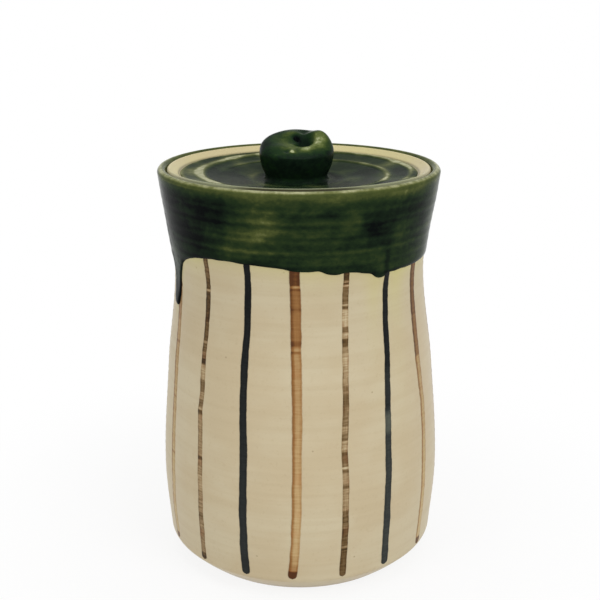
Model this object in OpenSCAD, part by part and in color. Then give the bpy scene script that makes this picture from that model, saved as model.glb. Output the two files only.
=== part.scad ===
// Slim fresh-water jar for the tea room.
// A wheel-thrown stoneware jar with a narrow waist and a flared mouth, brushed with straw stripes
// under a pale glaze and dipped at the neck in a thick green glaze that has run in places.
// A dished lid with a pinched knob drops into the mouth and rests on a ledge inside it.
// The jar stands on z = 0 with its axis on Z, and its front faces -Y. Sizes are in millimetres.

/* [Jar] */
// Height of the jar, to the crest of its lip
jar_h = 198; // [185:0.5:215]
// Diameter of the foot that the jar stands on
foot_d = 114; // [100:1:120]
// Width of the ring that meets the table
foot_w = 9; // [5:0.5:14]
// Depth of the hollow trimmed inside the foot
foot_recess = 2.5; // [1:0.25:4]
// Diameter at the top of the slanted edge above the foot
base_d = 136; // [128:1:138]
// Height of the slanted edge above the foot
base_z = 10; // [7:0.5:15]
// How far the slanted edge swells outward between foot and wall
base_swell = 0.3; // [0:0.1:2]
// Largest diameter, at the belly
belly_d = 140.5; // [136:0.5:150]
// Height of the belly above the slanted edge
belly_rise = 34; // [24:0.5:45]
// Diameter on the flank, between belly and waist
flank_d = 133; // [128:0.5:136]
// Height above the belly at which the flank is measured
flank_rise = 56; // [46:1:62]
// Smallest diameter, at the waist
waist_d = 122.5; // [118:0.5:127]
// Height of the waist above the place where the flank is measured
waist_rise = 50; // [42:1:55]
// Diameter at the root of the flared neck
neck_d = 126.5; // [123:0.5:130]
// Height above the waist at which the root of the neck is measured
neck_rise = 16; // [10:1:22]
// Outside diameter of the rim, just under the lip
rim_d = 136; // [133:0.5:142]
// Thickness of the lip around the lid
lip_t = 4; // [2.5:0.1:6]
// Thickness of the wall
wall = 6; // [4.5:0.25:8]
// Thickness of the floor, from the table to the inside
floor_t = 9; // [7:0.5:14]
// Radius of the round corner between floor and wall inside
floor_round = 12; // [6:1:16]

/* [Lid seat] */
// Gap between the lid's edge and the mouth around it
lid_gap = 0.7; // [0.4:0.1:1.5]
// Width of the ledge that carries the lid
seat_w = 4.5; // [3:0.25:6]
// How far the straight collar below the ledge runs past the ring under the lid
collar_more = 1.5; // [0.5:0.5:5]
// Height over which the collar fades into the wall
collar_fade = 10; // [6:1:16]

/* [Lid] */
// Thickness of the lid at its edge
lid_edge_t = 5; // [4:0.25:7]
// How far the lid's edge lies below the lip
lid_reveal = 0.25; // [0:0.25:3]
// Thickness of the lid under its dish
lid_t = 5; // [4:0.25:7]
// Width of the pale margin around the lid's dish
margin_w = 5.7; // [4:0.1:10]
// Drop from the lid's edge to the rim of the dish
margin_drop = 2.7; // [1.5:0.1:4]
// Drop from the lid's edge to the flat in the middle of the dish
dish_drop = 7.2; // [5:0.1:9]
// Distance from the dish's rim to the outer throwing ridge
ridge_in = 5.5; // [4:0.5:8]
// Distance between the two throwing ridges
ridge_gap = 8.5; // [6:0.5:14]
// Height of a throwing ridge
ridge_h = 0.7; // [0.2:0.1:1.2]
// Half width of a throwing ridge at its root
ridge_w = 3.2; // [2:0.1:4]
// Thickness of the ring under the lid that keeps it centred
flange_t = 4; // [3:0.25:6]
// Depth of that ring below the ledge
flange_h = 7; // [4:0.5:10]
// Gap between that ring and the ledge around it
flange_gap = 1; // [0.5:0.1:2]

/* [Knob] */
// Largest diameter of the knob
knob_d = 36; // [32:0.5:42]
// How far the knob sits off the middle of the lid, to the right
knob_off = -1.2; // [-3:0.1:3]
// Height of the knob's belly above the dish
knob_belly_z = 13; // [10:0.5:16]
// Height of the knob above the dish, at the middle of its crown
knob_h = 19.4; // [16:0.1:26]
// Diameter of the knob's neck
knob_neck_d = 30; // [24:0.5:31]
// Height of the knob's neck above the dish
knob_neck_z = 3; // [1.5:0.25:5]
// Diameter of the foot that joins the knob to the lid
knob_foot_d = 34; // [31.5:0.5:38]
// Diameter of the crown's rounded top
crown_d = 16; // [12:0.5:24]
// Fullness of the knob's shoulder, from a boxy one to an even arc
knob_shoulder = 0.5; // [0.4:0.05:1]
// Angle by which the crown leans
crown_lean = 15; // [0:1:20]
// Where the crown leans to, in degrees to the right of the front
crown_turn = -5; // [-90:5:90]
// Depth of the dimple pressed into the crown
dimple_depth = 5.5; // [3:0.5:9]
// How far the dimple is pressed off the middle, to the right
dimple_off = 3; // [-4:0.25:4]
// Depth of the saddle pinched into the front of the crown
saddle_depth = 0.4; // [0:0.1:5]
// Width of the saddle, in degrees round the knob
saddle_w = 70; // [40:5:120]
// Where the saddle lies, in degrees to the right of the front
saddle_turn = 20; // [-45:1:45]

/* [Glaze] */
// Thickness of the green glaze on the jar
glaze_t = 0.8; // [0.5:0.05:1.2]
// Thickness of the green glaze in the lid's dish
lid_glaze_t = 0.5; // [0.3:0.05:0.8]
// Mean drop from the lip's crest to the green glaze's lower edge
glaze_drop = 37.5; // [32:0.5:46]
// Rise and fall of that edge round the jar
edge_wave = 3.8; // [0:0.1:4]
// Small ripple of that edge
edge_ripple = 0.3; // [0:0.1:1]

/* [Stripes] */
// Number of stripes of each kind round the jar
stripe_sets = 6; // [4:1:8]
// Width of an iron-red stripe
iron_w = 5; // [3:0.5:7]
// Width of an umber stripe
umber_w = 3.6; // [2:0.2:6]
// Width of a blue-black stripe
cobalt_w = 4.4; // [2:0.2:6]
// Thickness of a brushed stripe
stripe_t = 0.15; // [0.1:0.05:0.3]
// Height of the stripes' lower ends above the slanted edge
stripe_lift = 2.5; // [0.5:0.5:9]
// Where the first iron-red stripe lies, in degrees to the right of the front
stripe_turn = -2; // [-20:0.5:20]

/* [Hidden] */
$fn = 120;

// Runs of the green glaze: degrees to the right of the front, length, half width in degrees
glaze_runs = [[-69.5, 26, 6], [1, 1.4, 8], [14, 2, 6], [36, 2.6, 4.5], [96, 9, 4.5], [128, 3, 7],
              [171, 16, 5], [208, 4, 6], [247, 7, 4.5]];
// Degrees by which the wave of the glaze's edge is turned from the front
edge_turn = 22;
// Gap between the facets of the green glaze and the round clay under it
glaze_seat = 0.15;
// Share of the full thickness at the glaze's thin ends
glaze_thin = 0.25;
// Least height of the coat's lowest part, which hangs below the root of the neck
glaze_hem = 2;
// Gap between a stripe's upper end and the green glaze over it
stripe_top_gap = 0.4;
// Radius of the rounded edges of the lid
lid_round = 1.5;
// Facets round the green glaze and round the knob
glaze_facets = 180;
knob_facets = 48;
// Steps in each stretch of a smooth line, in a rounded corner, along the knob and across the dish
line_steps = 8;
round_steps = 6;
knob_steps = 5;
dish_steps = 40;
// Direction of the jar's front, in degrees from +X
front = -90;

// Heights and radii that follow from the sizes above
belly_z = base_z + belly_rise;
flank_z = belly_z + flank_rise;
waist_z = flank_z + waist_rise;
neck_z = waist_z + neck_rise;
lip_r = lip_t / 2;
lip_z = jar_h - lip_r;
mouth_r = rim_d / 2 - lip_t;
throat_r = mouth_r - seat_w;
glaze_edge_z = jar_h - glaze_drop;
lid_r = mouth_r - lid_gap;
lid_top_z = jar_h - lid_reveal;
seat_z = lid_top_z - lid_edge_t;
flange_r = throat_r - flange_gap;
dish_r = lid_r - margin_w;
dish_rim_z = lid_top_z - margin_drop;
pad_z = lid_top_z - dish_drop;
pad_r = knob_foot_d / 2 + abs(knob_off);
stripe_pitch = 360 / (3 * stripe_sets);
stripe_foot_z = base_z + stripe_lift;

// Slope of the line through stations p at station i, level where the line turns back
function rise(p, i) = (p[i + 1][1] - p[i][1]) / (p[i + 1][0] - p[i][0]);
function slope(p, i) =
    i == 0 ? rise(p, 0)
    : i == len(p) - 1 ? rise(p, i - 1)
    : rise(p, i - 1) * rise(p, i) <= 0 ? 0
    : 2 * rise(p, i - 1) * rise(p, i) / (rise(p, i - 1) + rise(p, i));
// Point at share t of the stretch from station i to the next
function between(p, i, t) = let (h = p[i + 1][0] - p[i][0])
    [p[i][0] + t * h,
     (1 + 2 * t) * (1 - t) ^ 2 * p[i][1] + t * (1 - t) ^ 2 * h * slope(p, i)
     + t ^ 2 * (3 - 2 * t) * p[i + 1][1] + t ^ 2 * (t - 1) * h * slope(p, i + 1)];
// Smooth line through stations of height and radius
function smooth_line(p) = concat(
    [for (i = [0:len(p) - 2], k = [0:line_steps - 1]) between(p, i, k / line_steps)],
    [p[len(p) - 1]]);
// Points of an arc from one angle to another
function arc(centre, r, from, to) =
    [for (k = [0:round_steps]) let (a = from + (to - from) * k / round_steps)
        centre + r * [cos(a), sin(a)]];
// The same points as radius and height, the way an outline is drawn
function swapped(p) = [for (q = p) [q[1], q[0]]];
function reversed(p) = [for (i = [len(p) - 1:-1:0]) p[i]];

// Outside of the jar above the slanted edge, as height and radius
wall_line = smooth_line([[base_z, base_d / 2], [belly_z, belly_d / 2], [flank_z, flank_d / 2],
                         [waist_z, waist_d / 2], [neck_z, neck_d / 2], [lip_z, rim_d / 2]]);
function wall_r(z) = lookup(z, wall_line);
// Heights of the wall's own points from one height to another, with both ends
function wall_heights(from, to) =
    concat([from], [for (p = wall_line) if (p[0] > from + 0.01 && p[0] < to - 0.01) p[0]], [to]);

// Height of the dish at a radius: a shallow cone with throwing ridges
function ridge(r) = max([for (crest = [dish_r - ridge_in, dish_r - ridge_in - ridge_gap])
    let (off = (r - crest) / ridge_w) abs(off) < 1 ? cos(90 * off) ^ 2 : 0]);
function dish_z(r) = pad_z + (dish_rim_z - pad_z) * (r - pad_r) / (dish_r - pad_r) + ridge_h * ridge(r);
dish_line = [for (k = [0:dish_steps]) let (r = pad_r + (dish_r - pad_r) * k / dish_steps) [r, dish_z(r)]];

// Lower edge of the green glaze at a turn from the front
function turned(a, b) = let (d = (a - b) % 360) d > 180 ? d - 360 : d < -180 ? d + 360 : d;
function run_drop(a) = max([for (g = glaze_runs) let (x = abs(turned(a, g[0])) / g[2])
    x < 1 ? g[1] * (1 - x ^ 3) : 0]);
function glaze_edge(a) = glaze_edge_z + edge_wave * cos(2 * (a + edge_turn))
    + edge_ripple * sin(7 * a) - run_drop(a);
// Lowest that the glaze reaches over a stripe of a half width in degrees
function glaze_edge_over(a, half) = min([for (k = [-4:4]) glaze_edge(a + half * k / 4)]);

// Triangles of a tube of rings with m points each, closed along the rings and, if wanted, end to end
function skin(rings, m, closed) =
    [for (i = [0:rings - (closed ? 1 : 2)], j = [0:m - 1], half = [0, 1])
        let (a = i * m + j, b = i * m + (j + 1) % m,
             c = ((i + 1) % rings) * m + j, d = ((i + 1) % rings) * m + (j + 1) % m)
        half == 0 ? [a, d, b] : [a, c, d]];

// Thrown jar: foot, floor, wall, rounded lip and the ledge inside the mouth
module jar_body() {
    foot_r = foot_d / 2;
    collar_z = seat_z - flange_h - collar_more;
    fade_z = collar_z - collar_fade;
    corner_z = floor_t + floor_round;
    inner_r = wall_r(corner_z) - wall;
    foot_edge = [[foot_r, 0], [(foot_r + base_d / 2) / 2, base_z / 2] + base_swell * [sin(45), -sin(45)]];
    lip = arc([mouth_r + lip_r, lip_z], lip_r, 0, 180);
    inside = [for (z = wall_heights(corner_z, fade_z)) [wall_r(z) - wall, z]];
    color("wheat")
        rotate_extrude()
            polygon(concat(
                [[0, foot_recess], [foot_r - foot_w - foot_recess, foot_recess], [foot_r - foot_w, 0]],
                foot_edge,
                swapped([for (p = wall_line) if (p[0] < lip_z) p]),
                lip,
                [[mouth_r, seat_z], [throat_r, seat_z], [throat_r, collar_z]],
                reversed(inside),
                [for (k = [1:round_steps]) let (a = 90 * k / round_steps)
                    [inner_r - floor_round + floor_round * cos(a), corner_z - floor_round * sin(a)]],
                [[0, floor_t]]));
}

// Green glaze over the neck, from the crest of the lip to its wavy lower edge
module jar_green_glaze() {
    lip_c = [mouth_r + lip_r, lip_z];
    // Levels of the coat: turns over the lip, shares of the way down to the root of the neck,
    // shares of the way on to the lower edge, and the thickness at each
    lip_turns = [90, 60, 30];
    neck_shares = [0, 1 / 3, 2 / 3];
    hem_shares = [0, 0.2, 0.4, 0.6, 0.8, 0.93, 1];
    thick = [glaze_thin, 0.6, 0.7, 0.8, 0.85, 0.9, 1, 1, 1, 1, 1, 1, glaze_thin] * glaze_t;
    levels = len(thick);
    // Height of the coat's level k below the lip
    function level_z(a, k) = let (edge = glaze_edge(a), root = max(neck_z, edge + glaze_hem))
        k < len(neck_shares) ? lip_z + (root - lip_z) * neck_shares[k]
        : root + (edge - root) * hem_shares[k - len(neck_shares)];
    // Point of the coat on its level k, t off the clay
    function coat(a, k, t) = k < len(lip_turns)
        ? lip_c + (lip_r + t) * [cos(lip_turns[k]), sin(lip_turns[k])]
        : let (z = level_z(a, k - len(lip_turns))) [wall_r(z) + t, z];
    function section(a) = concat(
        [for (k = [0:levels - 1]) coat(a, k, glaze_seat + thick[k])],
        [for (k = [levels - 1:-1:0]) coat(a, k, glaze_seat)]);
    points = [for (i = [0:glaze_facets - 1])
        let (a = 360 * i / glaze_facets)
        for (p = section(a)) [p[0] * sin(a), -p[0] * cos(a), p[1]]];
    color("darkgreen") polyhedron(points, skin(glaze_facets, 2 * levels, true));
}

// One kind of brushed stripe, laid on the wall at every third place
module stripes(width, place) {
    half = width / waist_d * 180 / PI;
    for (i = [0:stripe_sets - 1]) {
        a = stripe_turn + stripe_pitch * (3 * i + place);
        top_z = glaze_edge_over(a, half + 1) - stripe_top_gap;
        heights = wall_heights(stripe_foot_z, top_z);
        rotate([0, 0, front + a - half])
            rotate_extrude(angle = 2 * half)
                polygon(concat([for (z = heights) [wall_r(z) + stripe_t, z]],
                               reversed([for (z = heights) [wall_r(z), z]])));
    }
}

module iron_stripes() { color("sienna") stripes(iron_w, 0); }
module umber_stripes() { color("#6b5a48") stripes(umber_w, 1); }
module cobalt_stripes() { color("#2a3138") stripes(cobalt_w, 2); }

// Thrown lid: pale margin, ridged dish, flat pad under the knob and the ring that centres it
module lid_plate() {
    edge = arc([lid_r - lid_round, lid_top_z - lid_round], lid_round, 0, 90);
    under = pad_z - lid_t;
    flange_in = flange_r - flange_t;
    color("wheat")
        rotate_extrude()
            polygon(concat(
                [[0, under], [pad_r, under], [flange_in, dish_z(flange_in) - lid_t],
                 [flange_in, seat_z - flange_h], [flange_r, seat_z - flange_h], [flange_r, seat_z],
                 [lid_r - lid_round / 2, seat_z], [lid_r, seat_z + lid_round / 2]],
                edge,
                reversed(dish_line),
                [[0, pad_z]]));
}

// Green glaze in the dish, thin where it breaks over the ridges
module lid_green_glaze() {
    color("darkgreen")
        rotate_extrude()
            polygon(concat(
                dish_line,
                reversed([for (p = dish_line) p + [0, lid_glaze_t * (1 - ridge(p[0]) / 2)]])));
}

// Knob pinched from a ball of clay: a drawn-in neck, a full belly and a leaning crown with a dimple,
// which a saddle opens to the front
module lid_knob() {
    foot_r = knob_foot_d / 2;
    neck_r = knob_neck_d / 2;
    belly_r = knob_d / 2;
    crown_r = crown_d / 2;
    // Shares of a quarter turn for each stretch of rings, so that the stretches join smoothly
    quarter = [for (k = [1:knob_steps]) 90 * k / knob_steps];
    // Rings as radius, height and the part that they take in the lean
    rings = concat(
        [[foot_r, 0, 0]],
        [for (q = quarter) [foot_r + (neck_r - foot_r) * sin(q), knob_neck_z * (1 - cos(q)), 0]],
        [for (q = quarter)
            [neck_r + (belly_r - neck_r) * sin(q), knob_neck_z + (knob_belly_z - knob_neck_z) * q / 90, 0]],
        [for (q = quarter)
            [crown_r + (belly_r - crown_r) * cos(q) ^ knob_shoulder,
             knob_belly_z + (knob_h - knob_belly_z) * sin(q), sin(q)]],
        [for (q = quarter) if (q < 90)
            [crown_r * (1 - q / 90), knob_h - dimple_depth * (1 - cos(2 * q)) / 2, 1]]);
    // Point on a ring at a turn from the front
    function on_knob(ring, a) =
        let (r = ring[0],
             lean = r * cos(a - crown_turn) * tan(crown_lean),
             saddle = saddle_depth * exp(-(2 * turned(a, saddle_turn) / saddle_w) ^ 2) * min(1, r / crown_r))
        [knob_off + r * sin(a) + ring[2] * dimple_off, -r * cos(a),
         pad_z + ring[1] - ring[2] * (lean + saddle)];
    points = concat(
        [[knob_off, 0, pad_z]],
        [for (ring = rings, i = [0:knob_facets - 1]) on_knob(ring, 360 * i / knob_facets)],
        [[knob_off + dimple_off, 0, pad_z + knob_h - dimple_depth]]);
    tip = len(points) - 1;
    under = [for (j = [0:knob_facets - 1]) [0, 1 + j, 1 + (j + 1) % knob_facets]];
    side = [for (f = skin(len(rings), knob_facets, false)) [for (n = f) n + 1]];
    last = tip - knob_facets;
    over = [for (j = [0:knob_facets - 1]) [tip, last + (j + 1) % knob_facets, last + j]];
    color("darkgreen") polyhedron(points, concat(under, side, over));
}

jar_body();
jar_green_glaze();
iron_stripes();
umber_stripes();
cobalt_stripes();
lid_plate();
lid_green_glaze();
lid_knob();
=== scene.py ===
"""A slim fresh-water jar for the tea room, in its finished glazes.

The jar and its lid are turned clay and the knob is pinched. The green glaze and the brushed strokes lie
over them as skins of their own. Lengths are in millimetres and angles in degrees. A turn is counted
from the front of the jar, to the right.
"""
import math

import bpy
import numpy as np
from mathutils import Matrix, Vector, kdtree, noise


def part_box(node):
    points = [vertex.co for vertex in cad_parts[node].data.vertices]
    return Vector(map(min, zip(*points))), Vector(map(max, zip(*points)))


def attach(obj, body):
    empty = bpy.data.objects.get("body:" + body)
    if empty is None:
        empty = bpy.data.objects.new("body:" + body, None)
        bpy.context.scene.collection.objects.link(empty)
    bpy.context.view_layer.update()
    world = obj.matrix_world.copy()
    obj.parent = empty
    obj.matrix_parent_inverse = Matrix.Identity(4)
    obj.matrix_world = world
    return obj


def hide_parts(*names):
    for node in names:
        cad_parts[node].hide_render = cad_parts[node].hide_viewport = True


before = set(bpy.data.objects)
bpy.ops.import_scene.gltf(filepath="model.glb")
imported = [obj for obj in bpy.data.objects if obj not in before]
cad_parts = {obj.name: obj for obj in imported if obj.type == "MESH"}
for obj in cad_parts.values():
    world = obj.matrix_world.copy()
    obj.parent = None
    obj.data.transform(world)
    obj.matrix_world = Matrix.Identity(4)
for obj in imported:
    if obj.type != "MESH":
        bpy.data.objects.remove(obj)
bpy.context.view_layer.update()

MM = 0.001
TAU = 2 * math.pi
# Distance by which a measuring ray keeps off the corners of the solids
HAIR = 0.02

# Camera: place, angle below the level, and lens with its sensor
CAMERA_PLACE = (0.23, -507, 289.1)
CAMERA_DIP = 17.5
CAMERA_LENS = 63.41
SENSOR_W = 36


def cad_radius(node, height):
    """Outside radius of a solid of the frame at a height, measured from the right."""
    start = Vector((300, 0, height)) * MM
    _, place, _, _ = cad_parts[node].ray_cast(start, Vector((-1, 0, 0)))
    return place.x / MM


def smoothstep(x, low, high):
    """Soft rise from 0 to 1 between two values."""
    t = np.clip((x - low) / (high - low), 0, 1)
    return t * t * (3 - 2 * t)


def grown(x, change, low, high):
    """A change that grows softly from nothing between two values."""
    return change * smoothstep(x, low, high)


def hump(x, centre, half):
    """Soft hump of height 1 round a value."""
    return np.exp(-(((x - centre) / half) ** 2))


def turned(a, b):
    """Turn from b to a, between -180 and 180 degrees."""
    return (np.asarray(a) - b + 180) % 360 - 180


def waver(x, seed):
    """Steady unevenness along a line, between about -1 and 1."""
    return np.array([noise.noise((v, seed * 3.7 + 0.5, 0.3)) for v in np.ravel(x)]).reshape(np.shape(x))


# How far the hand-thrown jar sways to the right at some heights
SWAY_HEIGHTS = (0, 80, 120, 150, 168, 185, 200)
SWAY = (0.35, 0.35, 0.05, -0.25, -0.5, -0.3, -0.3)


def placed(radius, turn, height):
    """Points in millimetres at a radius, turn and height, swaying with the jar."""
    a = np.radians(turn)
    sway = np.interp(height, SWAY_HEIGHTS, SWAY)
    return np.stack(np.broadcast_arrays(radius * np.sin(a) + sway, -radius * np.cos(a), height), axis=-1)


# Outside of the jar: heights at the slanted edge, belly, flank, waist, root of the neck and lip
jar_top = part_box("jar_body")[1].z / MM
lip_r = 2
lip_z = jar_top - lip_r
WALL_HEIGHTS = (10, 44, 100, 150, 166, lip_z)
wall_radii = [cad_radius("jar_body", z + HAIR) for z in WALL_HEIGHTS]
foot_r = cad_radius("jar_body", HAIR)
FOOT_W = 9
FOOT_RECESS = 2.5
BASE_SWELL = 0.3
BASE_ROUND = 1.6
WALL = 6
FLOOR = 9
FLOOR_ROUND = 12

# Lid and its seat
lid_low, lid_high = (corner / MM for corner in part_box("lid_plate"))
dish_low, dish_high = (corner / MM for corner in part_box("lid_green_glaze"))
# The pale glaze swells the lid's edge and narrows the gap round it
LID_GLAZE = 0.3
LID_GAP = 0.4
lid_r = lid_high.x + LID_GLAZE
lid_top = lid_high.z
dish_r = dish_high.x
pad_z = dish_low.z
SEAT_W = 4.5
FLANGE_H = 7
FLANGE_T = 4
FLANGE_GAP = 1
COLLAR_MORE = 1.5
COLLAR_FADE = 10
LID_T = 5
LID_ROUND = 1.5
MARGIN_DROP = 2.7
SCORE_DEPTH = 0.3
SCORE_W = 0.6
KNOB_FOOT_R = 17
PAD_R = 18.2
# Spiral ridge that a fingertip left in the dish: turns and radii of its path, height and half widths
RIDGE_TURNS = (60, 118, 150, 218, 237, 270, 360, 450, 540, 650)
RIDGE_RADII = (53.6, 54.6, 55.6, 50.8, 48.8, 47.6, 45.2, 42.8, 40.4, 37.5)
RIDGE_H = 0.75
RIDGE_W = (2.6, 4.4)
seat_z = lid_low.z + FLANGE_H
mouth_r = lid_r + LID_GAP
throat_r = mouth_r - SEAT_W
flange_r = throat_r - FLANGE_GAP

# Throwing rings: pitch of the coarse and fine ones, and height on the body and under the neck's glaze
RING_PITCH = 4.7
FINE_PITCH = 2.7
BODY_RINGS = 0.05
NECK_RINGS = 0.09
# Share by which the coarse rings come and go, and over what height, and share and lag of the fine ones
RING_FADE = 0.3
RING_FADE_PITCH = 13
FINE_SHARE = 0.4
FINE_LAG = 1.3
# Heights over which the rings begin and over which they grow, and depths below the lip where they end
RINGS_BEGIN = (14, 24)
RINGS_GROW = (146, 168)
RINGS_END = (2, 8)


def smooth_line(heights, radii, steps):
    """Heights and radii of a smooth line through stations, level where the line turns back."""
    rises = np.diff(radii) / np.diff(heights)
    slopes = [rises[0]]
    for a, b in zip(rises, rises[1:]):
        slopes.append(0 if a * b <= 0 else 2 * a * b / (a + b))
    slopes.append(rises[-1])
    line = []
    for i in range(len(rises)):
        h = heights[i + 1] - heights[i]
        for t in np.arange(steps) / steps:
            line.append((heights[i] + t * h,
                         (1 + 2 * t) * (1 - t) ** 2 * radii[i] + t * (1 - t) ** 2 * h * slopes[i]
                         + t * t * (3 - 2 * t) * radii[i + 1] + t * t * (t - 1) * h * slopes[i + 1]))
    line.append((heights[-1], radii[-1]))
    return np.array(line).T


wall_line = smooth_line(WALL_HEIGHTS, wall_radii, 40)


def throwing_rings(height, turn):
    """How far the rings left by the potter's fingers stand out of the wall."""
    spiral = turn / 360
    fade = 1 - RING_FADE + RING_FADE * np.sin(TAU * height / RING_FADE_PITCH)
    ring = np.sin(TAU * (height / RING_PITCH + spiral)) * fade
    ring = ring + FINE_SHARE * np.sin(TAU * (height / FINE_PITCH + spiral) + FINE_LAG)
    rise = BODY_RINGS + grown(height, NECK_RINGS - BODY_RINGS, *RINGS_GROW)
    return ring * rise * smoothstep(height, *RINGS_BEGIN) * smoothstep(lip_z - height, *RINGS_END)


def clay_r(height, turn):
    """Outside radius of the jar's clay, throwing rings included."""
    return np.interp(height, *wall_line) + throwing_rings(height, turn)


# Modelling helpers

def begin(name, add, **size):
    """Add a primitive to be shaped, with nothing else selected."""
    bpy.ops.object.select_all(action="DESELECT")
    add(**size)
    piece = bpy.context.object
    piece.name = piece.data.name = name
    return piece


def close_seams():
    """Merge what lies on one place, make neighbouring faces agree and smooth them."""
    bpy.ops.object.mode_set(mode="EDIT")
    bpy.ops.mesh.select_all(action="SELECT")
    bpy.ops.mesh.remove_doubles(threshold=1e-6)
    bpy.ops.mesh.normals_make_consistent(inside=False)
    bpy.ops.object.mode_set(mode="OBJECT")
    bpy.ops.object.shade_smooth()


def thrown(name, outline, steps):
    """A piece turned on the wheel: an outline drawn point by point and spun about the axis."""
    piece = begin(name, bpy.ops.mesh.primitive_plane_add, size=MM)
    bpy.ops.object.mode_set(mode="EDIT")
    bpy.ops.mesh.merge(type="CENTER")
    places = [Vector((radius, 0, height)) * MM for radius, height in outline]
    bpy.ops.transform.translate(value=places[0])
    for before, after in zip(places, places[1:]):
        bpy.ops.mesh.extrude_vertices_move(TRANSFORM_OT_translate={"value": after - before})
    bpy.ops.mesh.select_all(action="SELECT")
    bpy.ops.mesh.spin(steps=steps, angle=TAU, center=(0, 0, 0), axis=(0, 0, 1))
    bpy.ops.object.mode_set(mode="OBJECT")
    close_seams()
    return piece


def laid(name, points, marks):
    """A skin laid over the clay: a grid moved to rows of points and closed where its borders meet.

    marks are named values at the same points, which the piece's material reads.
    """
    rows, columns = points.shape[:2]
    piece = begin(name, bpy.ops.mesh.primitive_grid_add, size=2, x_subdivisions=columns - 1,
                  y_subdivisions=rows - 1)
    flat = read_places(piece)
    column = np.rint((flat[:, 0] + 1) / 2 * (columns - 1)).astype(int)
    row = np.rint((flat[:, 1] + 1) / 2 * (rows - 1)).astype(int)
    write_places(piece, points[row, column] * MM)
    for mark, values in marks.items():
        write_mark(piece, mark, np.broadcast_to(values, (rows, columns))[row, column])
    close_seams()
    return piece


def read_places(piece):
    """Places of a mesh's points as rows of three numbers."""
    flat = np.empty(len(piece.data.vertices) * 3, np.float32)
    piece.data.vertices.foreach_get("co", flat)
    return flat.reshape(-1, 3).astype(float)


def write_places(piece, places):
    """Move a mesh's points, as a hand shapes clay."""
    piece.data.vertices.foreach_set("co", np.asarray(places, np.float32).ravel())
    piece.data.update()


def write_mark(piece, mark, values):
    """Keep a value at each point for the material to read."""
    layer = piece.data.attributes.new(mark, "FLOAT", "POINT")
    layer.data.foreach_set("value", np.asarray(values, np.float32))


def round_places(piece):
    """Radius, turn and height of a mesh's points, in millimetres and degrees."""
    x, y, z = (read_places(piece) / MM).T
    return np.hypot(x, y), np.degrees(np.arctan2(x, -y)), z


def arc(centre, radius, start, end, steps=8):
    """Points of an arc of the outline between two angles."""
    angles = np.radians(np.linspace(start, end, steps + 1))
    return [(centre[0] + radius * math.cos(a), centre[1] + radius * math.sin(a)) for a in angles]


def rounded(start, corners, end, steps=5):
    """Points of an outline past corners, each given as a place and the reach of its rounding."""
    places = [Vector(place) for place in (start, *(corner for corner, _ in corners), end)]
    shares = [k / steps for k in range(steps + 1)]
    points = []
    for before, corner, after, (_, reach) in zip(places, places[1:], places[2:], corners):
        first = corner + (before - corner).normalized() * reach
        last = corner + (after - corner).normalized() * reach
        points += [tuple((1 - t) ** 2 * first + 2 * t * (1 - t) * corner + t * t * last) for t in shares]
    return points


# Lower edge of the green glaze: mean drop below the lip, its wave, its ripples and its uneven scallops
GLAZE_DROP = 37.6
EDGE_WAVE = 3.8
EDGE_TURN = 22
EDGE_RIPPLE = 0.35
EDGE_RIPPLES = 7
EDGE_SCALLOP = 1.2
EDGE_SCALLOPS = 14
# Runs of the green glaze: turn, length, half width in degrees and bluntness of the end
RUNS = ((-69.5, 25.5, 4.8, 0.25), (-69.5, 12, 8, 1), (1, 1.4, 8, 1), (14, 2.2, 5.5, 1), (36, 2.8, 4.4, 1),
        (96, 9, 4.5, 0.5), (128, 3, 7, 1), (171, 16, 4, 0.3), (208, 4, 6, 1), (247, 7, 4.5, 0.6))
# Share of a run's length at which its root flares, and how fast the flare fades, in degrees
RUN_FLARE = 0.28
FLARE_FADE = 5.5
# Power by which neighbouring runs are added up, so that they melt into each other
RUN_MELT = 4
# Points of the sharp edge, reach of its softening, step along the soft edge and steps to a column
EDGE_POINTS = 14401
EDGE_SOFT = 1.1
EDGE_STEP = 0.25
COLUMN_STEP = 3
waist_r = min(wall_radii)
# Yellow-green haze below the edge: strength and length
HAZE = 0.7
HAZE_LENGTH = 4
# Streaks of that haze: turn, strength, half width in degrees and length
FUMES = ((33, 0.6, 4, 20), (46, 0.7, 6, 26), (-48, 0.3, 6, 8), (8, 0.25, 8, 7), (100, 0.6, 9, 18),
         (150, 0.4, 8, 14), (-150, 0.5, 9, 16), (-105, 0.4, 8, 12))


def glaze_edge(turn):
    """Height of the green glaze's lower edge at a turn, before its corners soften."""
    drop = 0
    for place, length, half, blunt in RUNS:
        off = np.abs(turned(turn, place)) / half
        flare = RUN_FLARE * length * np.exp(-np.maximum(off - 1, 0) * half / FLARE_FADE)
        drop = drop + (length * (1 - np.minimum(off, 1) ** 3) ** blunt) ** RUN_MELT + flare**RUN_MELT
    a = np.radians(turn)
    wave = EDGE_WAVE * np.cos(2 * np.radians(turn + EDGE_TURN)) + EDGE_RIPPLE * np.sin(EDGE_RIPPLES * a)
    scallop = EDGE_SCALLOP * waver(EDGE_SCALLOPS * np.sin(a), 7) * waver(EDGE_SCALLOPS * np.cos(a), 8)
    return jar_top - GLAZE_DROP + wave + scallop - drop ** (1 / RUN_MELT)


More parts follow.
